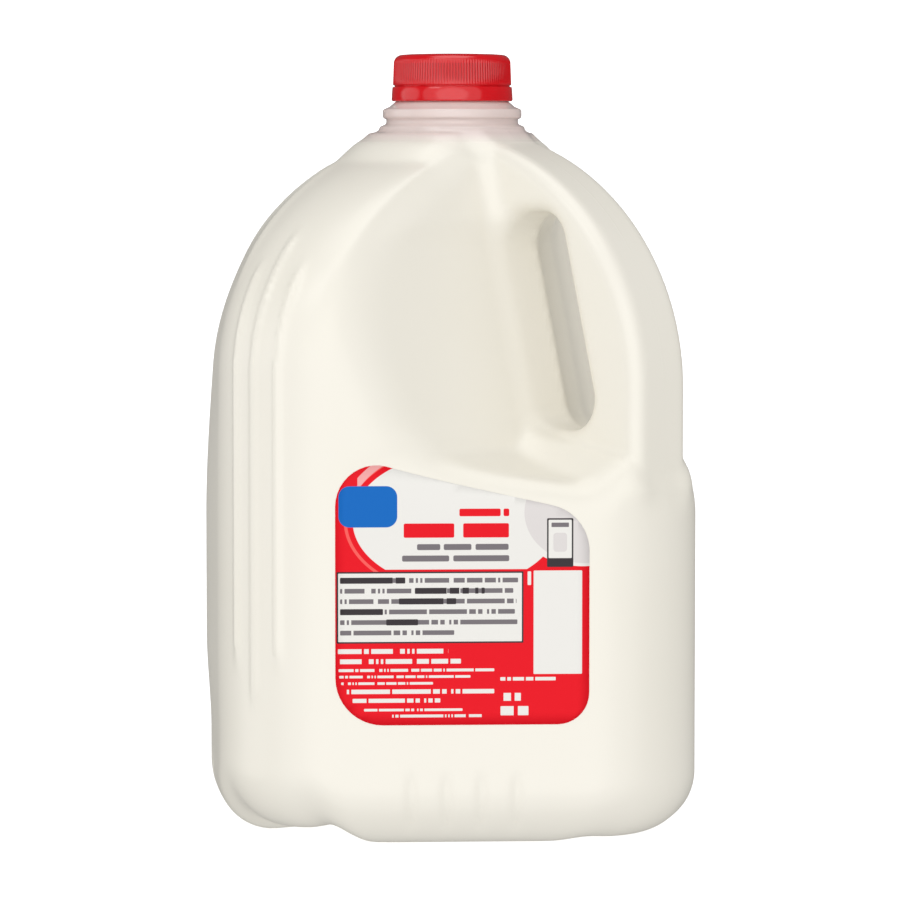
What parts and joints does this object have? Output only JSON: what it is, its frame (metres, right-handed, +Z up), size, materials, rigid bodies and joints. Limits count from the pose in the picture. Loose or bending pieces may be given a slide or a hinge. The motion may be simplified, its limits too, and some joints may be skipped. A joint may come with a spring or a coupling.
{
  "type": "plastic milk jug",
  "caption": "Full translucent plastic gallon jug of milk with a hollow side handle, a knurled red snap cap and a plain red and white side label.",
  "frame": {"origin": "on the neck's axis at the height of the surface that the jug stands on", "axes": "+Z up along the neck, +X towards the handle, and the mould's parting plane is the XZ plane, so the finger hole runs along Y"},
  "size_m": [0.1862, 0.1872, 0.2519],
  "materials": {
    "jug": "thin translucent natural polyethylene, satin, milky where the contents lie behind it",
    "milk": "opaque whole milk, slightly creamy white, smooth",
    "cap": "glossy red moulded polyethylene, finely knurled skirt",
    "label": "coated paper, red field with plain white panels and bars, semi-gloss"
  },
  "bodies": {
    "root": {"jug": "jug", "milk": "milk", "cap": "cap", "label": "label"}
  },
  "joints": []
}
